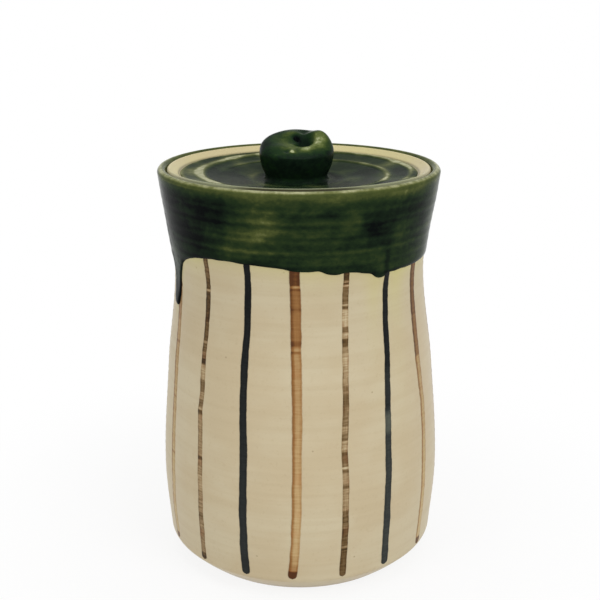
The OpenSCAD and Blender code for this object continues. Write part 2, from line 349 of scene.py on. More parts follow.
def edge_line():
    """The edge as even steps along its own length, softened: turns and heights, from -180 to 180."""
    turn = np.linspace(-180, 180, EDGE_POINTS)
    height = glaze_edge(turn)
    run = np.concatenate([[0], np.cumsum(np.hypot(np.diff(np.radians(turn)) * waist_r, np.diff(height)))])
    count = int(run[-1] / EDGE_STEP / COLUMN_STEP) * COLUMN_STEP
    even = np.arange(count) / count * run[-1]
    turn, height = np.interp(even, run, turn), np.interp(even, run, height)
    reach = int(4 * EDGE_SOFT / EDGE_STEP)
    weight = hump(np.arange(-reach, reach + 1), 0, EDGE_SOFT / EDGE_STEP * math.sqrt(2))
    weight /= weight.sum()
    lean = turn - np.arange(count) / count * 360
    soft = [np.convolve(np.concatenate([v[-reach:], v, v[:reach]]), weight, "valid")
            for v in (lean, height)]
    return soft[0] + np.arange(count) / count * 360, soft[1]


edge_turns, edge_heights = edge_line()


def edge_at(turn):
    """Height of the softened edge at a turn."""
    return np.interp(turned(turn, 0), edge_turns, edge_heights, period=360)


# Jar

def jar_outline():
    """Outline of the jar from the middle of its foot round to the middle of its floor."""

    def wall_points(heights, inward):
        """Points of the wall's line, so far inside the clay."""
        return [(float(np.interp(z, *wall_line)) - inward, float(z)) for z in heights]

    base_r, base_z = wall_radii[0], WALL_HEIGHTS[0]
    bulge = BASE_SWELL * math.sin(TAU / 8)
    swell = ((foot_r + base_r) / 2 + bulge, base_z / 2 - bulge)
    wall = wall_points(np.arange(base_z + 2, lip_z, 0.9), 0)
    collar_z = seat_z - FLANGE_H - COLLAR_MORE
    floor_z = FLOOR + FLOOR_ROUND
    inside = wall_points(np.linspace(collar_z - COLLAR_FADE, floor_z, 40), WALL)
    foot_in = foot_r - FOOT_W
    foot = [((foot_in - FOOT_RECESS, FOOT_RECESS), 1.2), ((foot_in, 0), 0.8), ((foot_r, 0), 1),
            (swell, 3), ((base_r, base_z), BASE_ROUND)]
    ledge = [((mouth_r, seat_z), 0.6), ((throat_r, seat_z), 0.6), ((throat_r, collar_z), 3)]
    outline = [(0, FOOT_RECESS)]
    outline += rounded((0, FOOT_RECESS), foot, wall[0])
    outline += wall
    outline += arc((mouth_r + lip_r, lip_z), lip_r, 0, 180, 14)
    outline += rounded((mouth_r, lip_z), ledge, inside[0])
    outline += inside
    outline += arc((inside[-1][0] - FLOOR_ROUND, floor_z), FLOOR_ROUND, 0, -90)[1:]
    outline += [(0, FLOOR)]
    return outline


def fume(height, turn):
    """How strongly the green has fumed the pale glaze below its edge, in streaks under its runs."""
    below = np.maximum(edge_at(turn) - height, 0)
    haze = HAZE * np.exp(-below / HAZE_LENGTH)
    for place, change, half, length in FUMES:
        haze = haze + change * hump(turned(turn, place), 0, half) * np.exp(-below / length)
    return haze


# Steps of the jar's turn, depth of what counts as its outside, and painted shade under the neck that grows
# over a span of heights
JAR_STEPS = 252
OUTSIDE = 0.5
WALL_SHADE = (0.05, 105, 148)


def make_jar():
    """The turned jar, with the rings that the potter's fingers left on its wall."""
    jar = thrown("thrown_jar", jar_outline(), JAR_STEPS)
    radius, turn, height = round_places(jar)
    outside = (height > WALL_HEIGHTS[0]) & (height < lip_z)
    outside &= radius > np.interp(height, *wall_line) - OUTSIDE
    radius = radius + np.where(outside, throwing_rings(height, turn), 0)
    write_places(jar, placed(radius, turn, height) * MM)
    write_mark(jar, "fume", np.where(outside, fume(height, turn), 0))
    # The wall darkens towards the neck: painted shade under the neck's flare.
    write_mark(jar, "soil_and_shade", grown(height, *WALL_SHADE))
    return jar


# How deep glaze and pigment reach into the clay, and how far a glaze's thin edge is tucked into it
SUNK = 0.3
TUCK = 0.02
# Green coat over the neck: thickness, swelling along its edge and its reach, share at the lip and the
# depths below the lip over which it thickens, and width of its rounded edge
COAT = 0.5
COAT_POOL = 0.3
POOL_REACH = 4
COAT_LIP = 0.32
LIP_THICKENS = (-1, 12)
COAT_BEAD = 1.7
# Swelling at the end of a run: shares of its length and width, place above its tip and half height
RUN_SWELL = 0.012
SWELL_WIDTH = 0.7
SWELL_RISE = 3
SWELL_HALF = 4.5
# How far the coat reaches down inside the lip, its thickness there, and both at its rows as shares
COAT_INSIDE = 2.6
COAT_INSIDE_T = 0.15
INSIDE_DROPS = (1, 0.96, 0.85, 0.6, 0.3)
INSIDE_SHARES = (0, 0.6, 0.9, 1, 1)
# Rows of points on the lip, on the wall and near the edge, and how many of them the underside skips
LIP_ROWS = 19
COAT_ROWS = 40
EDGE_ROWS = (4, 3.2, 2.5, 1.9, 1.4, 1, 0.7, 0.45, 0.25, 0.1, 0)
UNDER_SKIP = 4
# Height of the throwing rings that still shows on top of the glaze, and where it settles to that
COAT_RINGS = 0.05
RINGS_SETTLE = 3
# Depth of its colour, how it deepens along the edge, and the reach of that
COAT_DEPTH = 0.6
DARK_EDGE = 0.3
DARK_EDGE_REACH = 2.5
# Changes of that depth with their spans: low on the runs by height, and below the lip, with its waver
DARK_RUNS = (0.3, 150, 140)
PALE_LIP = (-0.3, 5, -0.5)
PALE_LIP_WAVER = 2
PALE_LIP_TURN = 23
# Depth inside the lip and on it, and its changes on the lip's crest, where thin glaze is paled further as a
# painted highlight, and on its back, with spans of angles
INSIDE_DEPTH = 0.2
LIP_DEPTH = 0.3
LIP_CREST_HIGHLIGHT = (-0.22, 22, 52)
LIP_BACK = (0.2, 80, 112)
# How even the colour is on the lip, and the depths below it over which that fades
LIP_EVEN = (0.4, 2.5, -0.5)
# Thick and thin places of the coat, with painted shade in the dark patches at the left and a painted
# reflection in
# the pale patches at the front left: turn, height, half widths in degrees and millimetres, change
COAT_PATCHES_SHADE_AND_SHEEN = (
    (-60, 181, 20, 18, 0.36), (-36, 186, 8, 8, 0.3), (-13.5, 184, 6, 6.5, -0.2), (-20, 178.2, 10, 2.6, -0.2),
    (-21, 173, 9, 4, -0.15), (-23, 168.7, 12, 2.4, -0.09), (-38, 168, 10, 7, 0.1),
    (-2, 187.5, 7, 4.5, 0.08), (3, 178.6, 7, 2.6, -0.1), (6, 173, 10, 7, 0.06), (11, 188.5, 4, 3, 0.12),
    (20, 183.5, 4.5, 6, -0.14), (28, 182, 5, 6, 0.12), (34, 178, 7, 9, 0.24), (43, 187, 7, 5, 0.16),
    (18, 196, 12, 3, -0.08), (50, 196, 16, 5, -0.1), (58, 184, 9, 12, 0.16), (39, 162.5, 1.4, 6, 0.25),
    (84, 176, 12, 3, -0.24), (110, 186, 16, 6, 0.2), (128, 179, 10, 2.4, -0.3), (150, 172, 9, 8, 0.2),
    (176, 184, 13, 4, -0.24), (-160, 179, 14, 9, 0.22), (-128, 184, 12, 3, -0.26),
    (-110, 173, 10, 2.4, -0.26), (-88, 182, 12, 12, 0.24))


def edge_distance(turn, height):
    """Distance of points on the unrolled wall to the glaze's lower edge."""
    tree = kdtree.KDTree(3 * len(edge_turns))
    for lap in (-360, 0, 360):
        for a, z in zip(edge_turns + lap, edge_heights):
            tree.insert((math.radians(a) * waist_r, z, 0), 0)
    tree.balance()
    return np.array([tree.find((math.radians(a) * waist_r, z, 0))[2]
                     for a, z in zip(np.ravel(turn), np.ravel(height))]).reshape(np.shape(turn))


def coat_thickness(turn, height, distance):
    """Thickness of the green coat on the wall, thin at the lip and swollen at the ends of its runs."""
    thick = COAT + COAT_POOL * np.exp(-distance / POOL_REACH)
    for place, length, half, _ in RUNS:
        across = hump(turned(turn, place), 0, half * SWELL_WIDTH)
        swell = across * hump(height, float(edge_at(place)) + SWELL_RISE, SWELL_HALF)
        thick = thick + RUN_SWELL * length * swell
    thick = thick * (COAT_LIP + grown(lip_z - height, 1 - COAT_LIP, *LIP_THICKENS))
    return thick * np.sqrt(1 - (1 - np.minimum(distance / COAT_BEAD, 1)) ** 2)


def coat_depth(turn, height, distance):
    """Depth of the coat's colour on the wall."""
    below = lip_z - height - PALE_LIP_WAVER * waver(turn / PALE_LIP_TURN, 9)
    depth = COAT_DEPTH + DARK_EDGE * np.exp(-distance / DARK_EDGE_REACH) - throwing_rings(height, turn)
    depth = depth + grown(height, *DARK_RUNS) + grown(below, *PALE_LIP)
    # The dark patches at the left are painted shade and the pale ones at the front left a painted
    # reflection.
    for place, level, half_turn, half_height, change in COAT_PATCHES_SHADE_AND_SHEEN:
        off = (turned(turn, place) / half_turn) ** 4 + ((height - level) / half_height) ** 4
        depth = depth + change * np.exp(-off)
    return depth


def make_neck_glaze():
    """The green coat, from inside the lip down to its wavy edge and runs."""
    turn = np.concatenate([edge_turns[::COLUMN_STEP], edge_turns[:1] + 360])
    edge = np.concatenate([edge_heights[::COLUMN_STEP], edge_heights[:1]])
    share = np.linspace(0, 1, COAT_ROWS + 2)[1:-1, None]
    near = edge + np.array(EDGE_ROWS)[:, None]
    heights = np.concatenate([lip_z + (near[0] - lip_z) * share, near])
    turns = np.broadcast_to(turn, heights.shape)
    distance = edge_distance(turns, heights)
    clay = clay_r(heights, turns)
    settle = np.minimum(distance / RINGS_SETTLE, 1) * (1 - COAT_RINGS / NECK_RINGS)
    level = clay - throwing_rings(heights, turns) * settle
    outer = placed(level + coat_thickness(turns, heights, distance) - TUCK, turns, heights)
    inner = placed(clay - SUNK, turns, heights)[::-UNDER_SKIP]
    angles = np.linspace(180, 0, LIP_ROWS)
    lip_thick = COAT_INSIDE_T + grown(angles, COAT * COAT_LIP - COAT_INSIDE_T, 180, 0)
    drop = COAT_INSIDE * np.array(INSIDE_DROPS)
    drop_thick = COAT_INSIDE_T * np.array(INSIDE_SHARES)

    def over_lip(drop_off, lip_off):
        """Rows of the coat that go up inside the lip and over it, so far off the clay."""
        a = np.radians(angles)
        radius = np.concatenate([mouth_r - drop_off, mouth_r + lip_r + (lip_r + lip_off) * np.cos(a)])
        height = np.concatenate([lip_z - drop, lip_z + (lip_r + lip_off) * np.sin(a)])
        return placed(radius[:, None], turn[None, :], height[:, None])

    over = over_lip(drop_thick - TUCK, lip_thick - TUCK)
    under = over_lip(np.full(len(drop), -SUNK), np.full(len(angles), -SUNK))
    points = np.concatenate([over, outer, inner, under[::-1], over[:1]])
    hidden = np.zeros((len(inner) + len(under) + 1, len(turn)))
    # The crest's pale line is thin glaze together with a painted highlight.
    lip_depth_and_highlight = LIP_DEPTH + grown(angles, *LIP_CREST_HIGHLIGHT) + grown(angles, *LIP_BACK)
    lip_depth_and_highlight = np.concatenate([np.full(len(drop), INSIDE_DEPTH), lip_depth_and_highlight])
    lip_depth_and_highlight = np.broadcast_to(lip_depth_and_highlight[:, None], over.shape[:2])
    depth = np.concatenate([lip_depth_and_highlight, coat_depth(turns, heights, distance), hidden + COAT])
    even = np.concatenate([np.full(over.shape[:2], LIP_EVEN[0]), grown(lip_z - heights, *LIP_EVEN), hidden])
    return laid("neck_glaze", points, {"depth": np.maximum(depth, 0), "even": even})


# Brushed strokes: first turn, number of each kind, lower end, thickness, how far their thin edges are
# tucked into the clay, step of their rows and length under the green
STROKE_TURN = -2
STROKE_SETS = 6
STROKE_FOOT = 12.5
STROKE_LIFT = 0.08
STROKE_TUCK = 0.01
STROKE_STEP = 0.6
STROKE_UNDER = 2.5
# How far below that lower end a stroke stops, and by how much this varies
FOOT_MORE = 1.2
FOOT_WAVER = 0.8
# Unevenness of the width, as share, length and seed, and sway of the middle with its length
WIDTH_WAVERS = ((0.1, 7, 0), (0.06, 2, 40))
SWAY_WAVER = 0.22
SWAY_LENGTH = 9
SWAY_SEED = 80
# Places of the points across a stroke, from left to right on top and back on its underside
STROKE_TOP = (-1, -0.86, -0.6, -0.3, 0, 0.3, 0.6, 0.86, 1)
STROKE_BACK = (0.5, -0.5, -1)
# One entry for each kind of stroke. widths are at the top and the foot, wash is the pigment between
# dashes at the top and the foot, soft is how softly dashes end. Each brush has its wander to the right
# at some heights, and dashes where it was full or nearly dry: from a height down to another, with the
# amount of pigment. rust is how red the iron burnt. The finish has stops of pigment and colour, a tint
# and the settings of the brush.
STROKES = {
    "iron_strokes": {
        "node": "iron_stripes", "slot": "iron_brown", "place": 0, "widths": (5.3, 4.8), "wash": (0.62, 0.3),
        "soft": 0.4, "finish": "iron_pigment", "tint": (244, 214, 196),
        "stops": ((0.1, (200, 180, 140)), (0.35, (189, 159, 112)), (0.6, (149, 107, 62)),
                  (0.85, (116, 75, 38)), (1, (84, 50, 26))),
        "settings": {"Left Edge": 0.28, "Right Edge": 0.1, "Bands": 0.3, "Dryness": 0.16},
        "brushes": (
            {"wander": ((159.5, 0.4), (134, 0.7), (94, 1), (62, 0.9), (46, 0.8), (30, 0.1), (22, -0.5),
                        (14, -1.3)),
             "dashes": ((170, 155, 0.95), (155, 153.9, 0.46), (153.9, 152.6, 0.84), (152.6, 144.6, 0.67),
                        (144.6, 143.2, 0.82), (143.2, 129.6, 0.62), (129.6, 127, 0.8), (126.2, 125, 0.42),
                        (125, 124, 0.74), (32, 25, 0.35), (25, 20, 0.41), (20, 15.8, 0.5), (15.8, 8, 1.1))},
            {"wander": ((150, 2.2), (126, 2), (110, 1.6), (97, 2.9), (89, 4.1), (72, 3.7),
                        (55, 2.8), (40, 2.2), (15, 2.4)), "rust": 0.15,
             "dashes": ((170, 132, 0.86), (132, 112, 0.74), (104, 102.8, 0.5), (96, 94.5, 0.5),
                        (15, 8, 0.9))},
            {"wander": ((150, -5.2), (134, -4.7), (118, -3.6), (104, -3.1), (90, -3.4), (76, -3.2),
                        (46, -2.2), (36, -3.1), (27, -4), (14, -3.8)), "rust": 0,
             "dashes": ((170, 128, 0.6), (118, 117, 0.7), (90, 89, 0.6), (61, 60, 0.6), (15, 8, 0.9))})},
    "umber_strokes": {
        "node": "umber_stripes", "slot": "umber_grey", "place": 1, "widths": (3.1, 3.7), "wash": (0.36, 0.5),
        "soft": 0.35, "finish": "umber_pigment", "tint": (228, 178, 152),
        "stops": ((0.1, (196, 177, 138)), (0.35, (166, 142, 106)), (0.6, (124, 101, 69)),
                  (0.85, (90, 68, 38)), (1, (62, 46, 26))),
        "settings": {"Left Edge": 0.1, "Right Edge": 0.08, "Bands": 0.8, "Dryness": 0.45},
        "brushes": (
            {"wander": ((157.5, 2), (134, 1.5), (110, 0.5), (94, 0.2), (78, -0.8), (62, -0.3),
                        (38, -0.6), (14, -0.9)),
             "dashes": ((170, 156.4, 0.95), (156.4, 155.8, 0.2), (155.8, 154.6, 0.88), (154.6, 153.7, 0.28),
                        (153.7, 145.5, 0.66), (145.5, 144.5, 0.2), (144.5, 143.2, 0.9), (143.2, 135.2, 0.26),
                        (135, 132.4, 0.64), (132.4, 129.9, 0.28), (129.7, 126.2, 0.82), (126.2, 123, 0.46),
                        (123, 117, 0.3), (117, 109, 0.38), (108.6, 104, 0.56), (104, 99, 0.72),
                        (99, 89, 0.58), (85.5, 82, 0.62), (82, 77, 0.34), (76.5, 75, 0.78),
                        (75, 69.3, 0.62), (69.3, 67.9, 0.18), (67.9, 66.6, 0.85),
                        (66.6, 61, 0.36), (60.4, 58.6, 0.64), (58.6, 47.4, 0.42),
                        (47.2, 40.6, 0.72), (40.4, 38.2, 0.6), (38, 28.3, 0.76),
                        (28.3, 27.4, 0.42), (27.4, 25.7, 0.95), (25.7, 8, 0.78))},
            {"wander": ((157, 7), (118, 6.2), (78, 6.6), (46, 5.8), (14, 6)),
             "dashes": ((170, 150, 0.9), (132, 118, 0.7), (96, 90, 0.8), (66, 52, 0.7), (30, 8, 0.8))},
            {"wander": ((157.5, -0.1), (150, -0.2), (134, -0.9), (118, -1.6), (100, -1.5), (90, -2.6),
                        (78, -1.9), (62, -1.6), (46, -1.2), (14, -2.1)),
             "dashes": ((170, 154.5, 0.74), (154.5, 148.6, 0.86), (148.6, 147.6, 0.42), (147.6, 133, 0.92),
                        (133, 124, 0.8), (124, 123, 0.42), (123, 118.7, 0.78), (118.7, 117.7, 0.4),
                        (117.7, 116.1, 0.72), (115.8, 112.8, 0.95), (112.6, 105.6, 0.34),
                        (105.5, 99.3, 0.66), (99.2, 95.8, 0.4), (95.6, 91.8, 0.64), (91.6, 90.6, 0.3),
                        (90.4, 88.2, 0.85), (67.4, 65.8, 0.85), (58, 50, 0.36),
                        (38, 34, 0.66), (14.8, 8, 0.9))})},
    "cobalt_strokes": {
        "node": "cobalt_stripes", "slot": "cobalt_black", "place": 2, "widths": (3.5, 4.7),
        "wash": (1.05, 0.78), "soft": 3, "finish": "cobalt_pigment", "tint": (224, 230, 240),
        "stops": ((0.2, (142, 138, 118)), (0.5, (84, 87, 77)), (0.75, (45, 48, 46)), (1, (14, 16, 17))),
        "settings": {"Left Edge": 0.05, "Right Edge": 0.05, "Bands": 0.2, "Dryness": 0.16},
        "brushes": (
            {"wander": ((160, 2.9), (149.7, 2.1), (118, 0.9), (102, -0.2), (78, -1.1), (62, -1.4),
                        (43, -2.3), (31, -2.1), (15, -1.5)),
             "dashes": ((170, 112, 0.96), (112, 96, 0.84), (92, 80, 0.55), (80, 8, 0.72))},
            {"wander": ((158, -4.5), (118, -5.5), (78, -5), (46, -4.6), (14, -5)),
             "dashes": ((170, 110, 1), (70, 52, 0.7), (20, 8, 1.05))},
            {"wander": ((159.5, 0.7), (149.7, 0.3), (134, -0.1), (118, -0.8), (94, -1.1), (70, -0.4),
                        (22, -0.8), (14, -0.4)),
             "dashes": ((170, 142, 1), (22, 8, 0.84))})},
}


def stroke_load(brush, kind, height):
    """Pigment that a brush left along its stroke."""
    top, foot = kind["wash"]
    soft = kind["soft"]
    load = foot + (top - foot) * (height - STROKE_FOOT) / (lip_z - STROKE_FOOT)
    for start, end, amount in brush["dashes"]:
        above = smoothstep(height, end - soft, end + soft)
        inside = above * (1 - smoothstep(height, start - soft, start + soft))
        load = load + (amount - load) * inside
    return load


def lay_stroke(name, turn, brush, kind, seed):
    """One brushed stroke on the wall, from under the green down to its rounded end."""
    top = float(edge_at(turn)) + STROKE_UNDER
    foot = STROKE_FOOT - FOOT_MORE + FOOT_WAVER * waver([seed * 5.1], 2)[0]
    height = np.linspace(top, foot, int((top - foot) / STROKE_STEP))
    wide, narrow = kind["widths"]
    half = (narrow + (wide - narrow) * (height - foot) / (top - foot)) / 2
    half = half * (1 + sum(share * waver(height / size, seed + more) for share, size, more in WIDTH_WAVERS))
    ends = np.minimum(height - foot, top - height) / half
    half = half * np.sqrt(1 - (1 - np.clip(ends, 0, 1)) ** 2)
    heights, shifts = zip(*reversed(brush["wander"]))
    middle = np.interp(height, heights, shifts) + SWAY_WAVER * waver(height / SWAY_LENGTH, seed + SWAY_SEED)
    across = np.array(STROKE_TOP + STROKE_BACK)
    lift = STROKE_LIFT * (1 - across**8) - STROKE_TUCK
    lift[len(STROKE_TOP):-1] = -SUNK
    level = height[:, None]
    turns = turn + np.degrees((middle[:, None] + across * half[:, None]) / clay_r(level, turn))
    points = placed(clay_r(level, turns) + lift, turns, level)
    marks = {"across": across, "along": level, "load": stroke_load(brush, kind, height)[:, None],
             "seed": seed, "fume": fume(level, turns), "rust": brush.get("rust", 1)}
    return laid(name, points, marks)


def make_strokes(name, kind):
    """All strokes of one pigment, laid round the jar at every third place."""
    strokes = []
    step = 360 / STROKE_SETS
    brushes = kind["brushes"]
    for i in range(STROKE_SETS):
        turn = float(turned(STROKE_TURN + step * (i + kind["place"] / 3), 0))
        brush = brushes[i % len(brushes)]
        seed = 1 + i + 10 * kind["place"]
        strokes.append(lay_stroke(f"{name}_{i}", turn, brush, kind, seed))
    bpy.ops.object.select_all(action="DESELECT")
    for piece in strokes:
        piece.select_set(True)
    bpy.context.view_layer.objects.active = strokes[0]
    bpy.ops.object.join()
    joined = bpy.context.object
    joined.name = joined.data.name = name
    return joined


# Lid

# Turns over which the spiral ridge rises and fades out, and how far inside the dish's rim it ends
RIDGE_RISES = (40, 100)
RIDGE_FADES = (650, 490)
RIDGE_RIM = (0.2, 2)
# How far the lid's rim has warped up, with the span of the turn's cosine, and distances from the dish's rim
LID_WARP = (0.9, 0.2, 1)
WARP_RIM = (-8, 2)


def ridge(radius, turn):
    """Share of the spiral ridge's height at a place. The ridge is broadest at the left."""
    near = np.full(np.shape(radius), 1e3)
    full = np.zeros(np.shape(radius))
    for lap in (0, 360, 720):
        along = turn % 360 + lap
        off = np.abs(radius - np.interp(along, RIDGE_TURNS, RIDGE_RADII))
        whole = smoothstep(along, *RIDGE_RISES) * smoothstep(along, *RIDGE_FADES)
        full = np.where(off < near, whole, full)
        near = np.minimum(off, near)
    half = RIDGE_W[0] + (RIDGE_W[1] - RIDGE_W[0]) * (1 - np.sin(np.radians(turn))) / 2
    full = full * smoothstep(dish_r - radius, *RIDGE_RIM)
    return full * np.cos(np.minimum(near / half, 1) * TAU / 4) ** 2


def dish_level(radius):
    """Height of the lid's top at a radius: pad, dish, scored line and pale margin."""
    rim_z = lid_top - MARGIN_DROP
    dish = pad_z + (rim_z - pad_z) * (radius - PAD_R) / (dish_r - PAD_R)
    edge_r = lid_r - LID_ROUND
    margin = rim_z + (lid_top - rim_z) * (radius - dish_r) / (edge_r - dish_r)
    top = np.where(radius < dish_r, np.maximum(dish, pad_z), margin)
    return top - SCORE_DEPTH * hump(radius, dish_r, SCORE_W)


def lid_warp(radius, turn):
    """How far the lid's rim has warped upward at a place."""
    return grown(np.cos(np.radians(turn)), *LID_WARP) * smoothstep(radius - dish_r, *WARP_RIM)


# Steps of the lid's turn and points along its top
LID_STEPS = 216
LID_POINTS = 160
# Share of yellow-green in the lid's pale margin
LID_FUME = 0.8
# Greenish painted shade on the front of the lid, darkening of its edge all round that is part wear and part
# painted shade, and more painted shade on the edge at the front. The front is a span of the turn's cosine.
LID_FRONT_SHADE = (0.8, 0.1, 0.75)
EDGE_WEAR_AND_SHADE = 0.3
FRONT_EDGE_SHADE = (0.7, 0.86, 0.97)
# Where that darkening of the edge begins: distances from the lid's edge and heights above its seat
DARKER_EDGE_REACH = (-1.3, -0.5)
DARKER_EDGE_HEIGHTS = (1, 2)
# Soil along the scored line: share, place outside the line and half width
SCORE_SOIL = 0.7
SOIL_OUT = 0.2
SOIL_HALF = 0.5


def make_lid():
    """The turned lid, with its margin, its dish and the ring that keeps it centred."""
    flange_in = flange_r - FLANGE_T
    under = pad_z - LID_T
    corners = [((PAD_R, under), 6), ((flange_in, float(dish_level(flange_in)) - LID_T), 1.5),
               ((flange_in, lid_low.z), 0.8), ((flange_r, lid_low.z), 0.8), ((flange_r, seat_z), 0.5),
               ((lid_r, seat_z), 0.7)]
    edge_r = lid_r - LID_ROUND
    outline = [(0, under)]
    outline += rounded((0, under), corners, (lid_r, lid_top))
    outline += arc((edge_r, lid_top - LID_ROUND), LID_ROUND, 0, 90)[:-1]
    outline += [(float(r), float(dish_level(r))) for r in np.linspace(edge_r, 0, LID_POINTS)]
    lid = thrown("thrown_lid", outline, LID_STEPS)
    radius, turn, height = round_places(lid)
    front = np.cos(np.radians(turn))
    in_dish = (height > dish_level(radius) - 0.2) & (radius < dish_r)
    height = height + np.where(in_dish, RIDGE_H * ridge(radius, turn), 0)
    height = height + lid_warp(radius, turn) * smoothstep(height, seat_z, lid_top)
    write_places(lid, placed(radius, turn, height) * MM)
    write_mark(lid, "fume", np.full(len(radius), LID_FUME))
    # Greenish painted shade over the front of the lid's pale glaze.
    write_mark(lid, "front_shade", grown(front, *LID_FRONT_SHADE))
    # The edge darkens all round, part wear and part painted shade, with more painted shade at the front.
    edge = smoothstep(radius - lid_r, *DARKER_EDGE_REACH) * smoothstep(height - seat_z, *DARKER_EDGE_HEIGHTS)
    edge = edge * (EDGE_WEAR_AND_SHADE + grown(front, *FRONT_EDGE_SHADE))
    soil = SCORE_SOIL * hump(radius, dish_r + SOIL_OUT, SOIL_HALF) * (height > seat_z)
    write_mark(lid, "soil_and_shade", edge + soil)
    return lid


# Green glaze in the dish: thickness, share of it that the ridge thins away, width of its rounded edge,
# gap to the scored line, unevenness of that edge, and how far it reaches under the knob
DISH_GLAZE = 0.42
RIDGE_THINS = 0.8
DISH_BEAD = 1.4
DISH_GAP = 0.3
DISH_WAVERS = (0.42, 0.35)
DISH_UNDER = 2.5
# Columns and rows of points, rows near the edge, and how many rows the underside skips
DISH_COLUMNS = 361
DISH_ROWS = 89
RIM_ROWS = (1.6, 1.1, 0.7, 0.4, 0.18, 0.05, 0)
DISH_SKIP = 6
# Depth of its colour, share of it that breaks away on the ridge, and how uneven that is
DISH_DEPTH = 0.8
RIDGE_BREAK = 0.94
BREAK_WAVER = 0.25
BREAK_TURN = 14
# Where the ridge breaks less, at the back and right: share, turn and half width, and radii at the right
BACK_BREAK = (0.4, 165, 30)
RIGHT_BREAK = (0.5, 85, 55)
RIGHT_RADII = (46, 50)
# Paler colour round the pad: share, distance from it and half width
PALE_PAD = (0.24, 5, 2)
# Paler colour at the left: share, turn and half width, and radii over which it pales
PALE_LEFT = (0.3, -80, 26)
LEFT_RADII = (46, 54)
# Paler colour to the front, to the back, along the rim and on its front: share and span over which it pales
PALE_FRONT = (0.16, 38, 55)
PALE_BACK = (0.18, 5, 35)
PALE_RIM = (0.34, 2.6, 0.2)
PALE_FRONT_RIM = (0.3, 4, 1)
RIM_FRONT = (0.3, 0.8)
# Mottle: strength and sizes to the right and to the front
DISH_MOTTLE = 0.55
MOTTLE_SIZE = (9, 14)


def dish_depth(radius, turn, rim, crest):
    """Depth of the dish glaze's colour, thin on the ridge and in some places."""

    def spot(share, place, half):
        """Soft share round a turn."""
        return share * hump(turned(turn, place), 0, half)

    broken = 1 - spot(*BACK_BREAK) - spot(*RIGHT_BREAK) * (1 - smoothstep(radius, *RIGHT_RADII))
    broken = broken + BREAK_WAVER * waver(turn / BREAK_TURN, 8)
    share, off, half = PALE_PAD
    depth = DISH_DEPTH * (1 - RIDGE_BREAK * broken * crest) - share * hump(radius, PAD_R + off, half)
    right, front = radius * np.sin(np.radians(turn)), radius * np.cos(np.radians(turn))
    depth = depth - spot(*PALE_LEFT) * smoothstep(radius, *LEFT_RADII)
    depth = depth - grown(front, *PALE_FRONT) - (1 - crest) * grown(-front, *PALE_BACK)
    depth = depth - grown(rim - radius, *PALE_RIM)
    depth = depth - grown(dish_r - radius, *PALE_FRONT_RIM) * smoothstep(front / radius, *RIM_FRONT)
    wide, long = MOTTLE_SIZE
    mottle = [noise.noise((x / wide, y / long, 4.3)) for x, y in zip(right.ravel(), front.ravel())]
    return depth - DISH_MOTTLE * np.maximum(np.reshape(mottle, radius.shape) + 0.1, 0)


def make_dish_glaze():
    """The green glaze poured into the lid's dish, thin where it breaks over the ridges."""
    turn = np.linspace(-180, 180, DISH_COLUMNS)
    a = np.radians(turn)
    rim = dish_r - DISH_GAP
    rim = rim + DISH_WAVERS[0] * waver(3 * np.cos(a), 5) + DISH_WAVERS[1] * waver(3 * np.sin(a), 6)
    inner_r = KNOB_FOOT_R - DISH_UNDER
    near = rim - np.array(RIM_ROWS)[:, None]
    share = np.linspace(0, 1, DISH_ROWS + 1)[:-1, None]
    radius = np.concatenate([inner_r + (near[0] - inner_r) * share, near])
    turns = np.broadcast_to(turn, radius.shape)
    crest = ridge(radius, turns)
    top = dish_level(radius) + RIDGE_H * crest + lid_warp(radius, turns)
    bead = np.sqrt(1 - (1 - np.minimum((rim - radius) / DISH_BEAD, 1)) ** 2)
    outer = placed(radius, turns, top + DISH_GLAZE * (1 - RIDGE_THINS * crest) * bead - TUCK)
    inner = placed(radius, turns, top - SUNK)[::-DISH_SKIP]
    points = np.concatenate([outer, inner, outer[:1]])
    hidden = np.full((len(inner) + 1, len(turn)), DISH_GLAZE)
    depth = np.concatenate([dish_depth(radius, turns, rim, crest), hidden])
    return laid("dish_glaze", points, {"depth": np.maximum(depth, 0.02)})


# Knob: steps of its turn and sizes of its ball, before it is pinched
KNOB_STEPS = 144
KNOB_R = 18
KNOB_BELLY = 13
KNOB_H = 18.8
KNOB_NECK_R = 15
KNOB_NECK = 3
CROWN_R = 10
DIMPLE = 0.8
# How it is pinched: place on the lid, slant of the crown, saddle to the front
KNOB_SHIFT = -1.2
CROWN_LEAN = 15
SADDLE = 0.4
SADDLE_TURN = 20
SADDLE_HALF = 36
# How boxy the shoulder is: 1 for a round one, less for a fuller one
SHOULDER = 0.5
# Lumps and pits that the fingers left: place right of and behind the knob's axis, radius and height
KNOB_LUMPS = ((4.2, 0.5, 2.6, -5.5), (-2, 8, 3, 0.9), (-0.4, 4.4, 0.9, -2.2), (3.5, 9.5, 1.8, -1),
              (-4.6, -11, 1, -0.8), (-2.4, -10.8, 1.1, 0.7), (-9, -7, 2.4, 0.4), (10.5, 3.5, 4.5, 3.2),
              (5, -8.5, 3, 0.4))
# Unevenness of its wall, its size, and heights over which it grows
KNOB_UNEVEN = 0.5
UNEVEN_SIZE = 8
UNEVEN_HEIGHTS = (2, 8)
# Heights over which its glaze grows uneven towards the crown, and the waver of those heights
GLAZE_HEIGHTS = (KNOB_BELLY - 2, KNOB_H - 1.5)
GLAZE_WAVER = 3
# Depth of its green, and where the glaze lies thin or thick, with painted highlights on the front rim of its
# dimple:
# place as above, radius and change
KNOB_DEPTH = 0.76
KNOB_TINTS_AND_HIGHLIGHTS = ((10.5, 1, 4.5, -0.63), (10, -6, 3.2, -0.4), (4.5, -9, 2.4, -0.6), (-2.3, -11.6, 0.9, -0.9),
              (-4.6, -11, 0.9, 0.4), (-4, -6, 5, -0.5), (-9, 2, 4, -0.3), (-3, 8, 3, -0.45),
              (4.2, 0.5, 2.6, 0.5), (-0.4, 4.4, 1.2, 0.8), (-16, 0, 4, 0.15))


